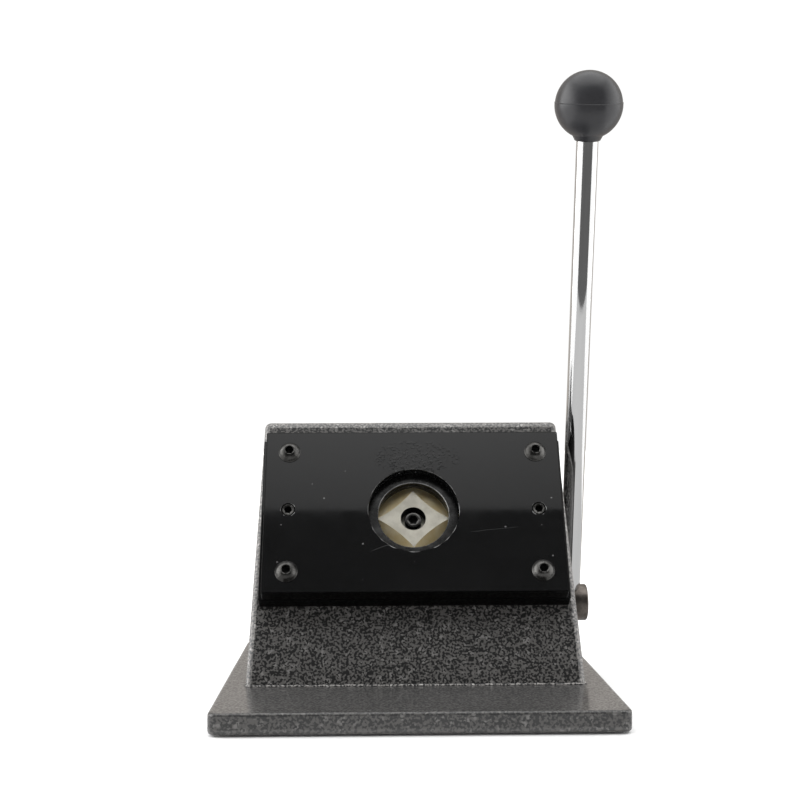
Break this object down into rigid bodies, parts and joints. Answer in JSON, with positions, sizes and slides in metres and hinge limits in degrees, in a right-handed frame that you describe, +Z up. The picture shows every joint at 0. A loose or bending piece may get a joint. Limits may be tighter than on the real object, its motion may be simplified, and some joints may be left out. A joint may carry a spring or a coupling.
{
  "type": "button badge disc cutter",
  "caption": "Hand-lever press with a wedge-shaped body and a slotted pair of sloping die plates; a rack-driven round punch cuts paper discs for button badges.",
  "frame": {"origin": "centre of the base plate's footprint, on the surface that the tool stands on", "axes": "+X to the lever side, +Y to the back, +Z up"},
  "size_m": [0.2328, 0.24, 0.3667],
  "materials": {
    "hammertone": "hammertone paint",
    "mat": "matt",
    "black_plate": "satin black",
    "shim": "ground",
    "die": "blackened tool steel",
    "screw": "black oxide",
    "zinc": "zinc plated",
    "casting": "as cast, machined bores",
    "bronze": "sintered",
    "steel": "turned",
    "hub": "browned steel",
    "chrome": "polished",
    "brass": "turned",
    "knob": "moulded",
    "punch": "ground tool steel",
    "spring": "oiled spring steel"
  },
  "bodies": {
    "frame": {"base_plate": "hammertone", "anti_slip_mat": "mat", "base_screws": "screw", "body_housing": "hammertone", "rear_cover": "hammertone", "rear_cover_screws": "zinc", "back_plate": "black_plate", "slot_spacers": "shim", "front_plate": "black_plate", "die_ring": "die", "plate_screws": "screw", "set_screws": "screw", "ram_guide": "casting", "guide_screws": "screw", "guide_bushes": "bronze", "wall_bush": "bronze"},
    "lever": {"drive_shaft": "steel", "pinion": "steel", "pinion_pin": "spring", "retaining_ring": "spring", "lever_hub": "hub", "hub_set_screw": "screw", "lever_rod": "chrome", "knob_insert": "brass", "ball_knob": "knob"},
    "ram": {"ram": "steel", "punch": "punch", "punch_screw": "screw", "spring_collar": "steel", "collar_screw": "screw", "return_spring": "spring"}
  },
  "joints": [
    {"name": "lever_hinge", "type": "hinge", "parent": "frame", "child": "lever", "pos_m": [0, 0.05939, 0.04525], "axis": [1, 0, 0], "range_deg": [0, 45], "stiffness_Nm_per_rad": 1.44, "springref_deg": -28.65},
    {"name": "ram_slide", "type": "slide", "parent": "frame", "child": "ram", "axis": [0, -0.8746, 0.4848], "range_m": [0, 0.0095], "deforming": ["return_spring"]}
  ],
  "couplings": [
    {"joint": "ram_slide", "follows": "lever_hinge", "m_per_rad": 0.012}
  ]
}
